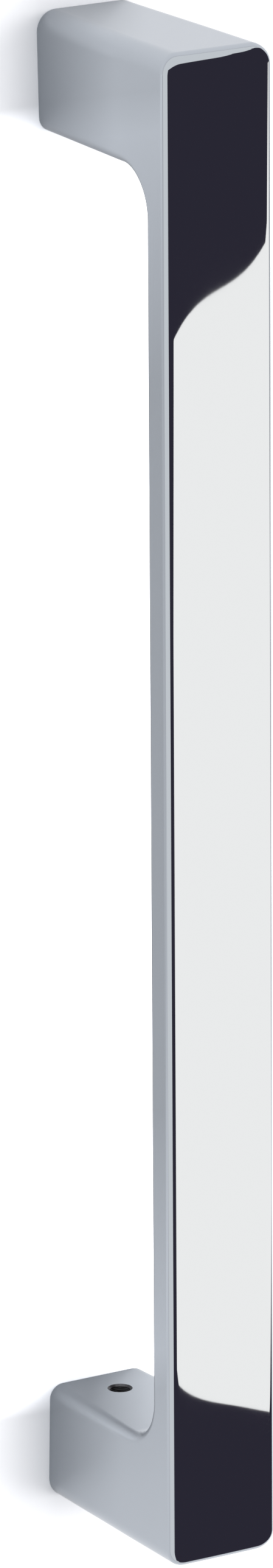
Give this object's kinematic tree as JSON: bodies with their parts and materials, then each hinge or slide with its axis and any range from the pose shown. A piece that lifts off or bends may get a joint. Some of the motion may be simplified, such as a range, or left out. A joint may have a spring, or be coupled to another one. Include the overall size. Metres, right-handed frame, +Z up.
{
  "type": "door pull handle",
  "caption": "Straight offset door pull in polished chrome: a flat crowned bar carried on a post at each end, clamped to its door spigots by hidden set screws.",
  "frame": {"origin": "on the door plane, midway between the two fixing centres", "axes": "+Z up along the bar, +Y into the door, +X to the right for a person who faces the door"},
  "size_m": [0.026, 0.052, 0.3256],
  "materials": {
    "polished_chrome": "mirror polished",
    "plated_steel": "turned, bright plated",
    "black_oxide_steel": "black oxide"
  },
  "bodies": {
    "root": {"handle": "polished_chrome", "spigot_upper": "plated_steel", "spigot_lower": "plated_steel", "set_screw_upper": "black_oxide_steel", "set_screw_lower": "black_oxide_steel"}
  },
  "joints": []
}
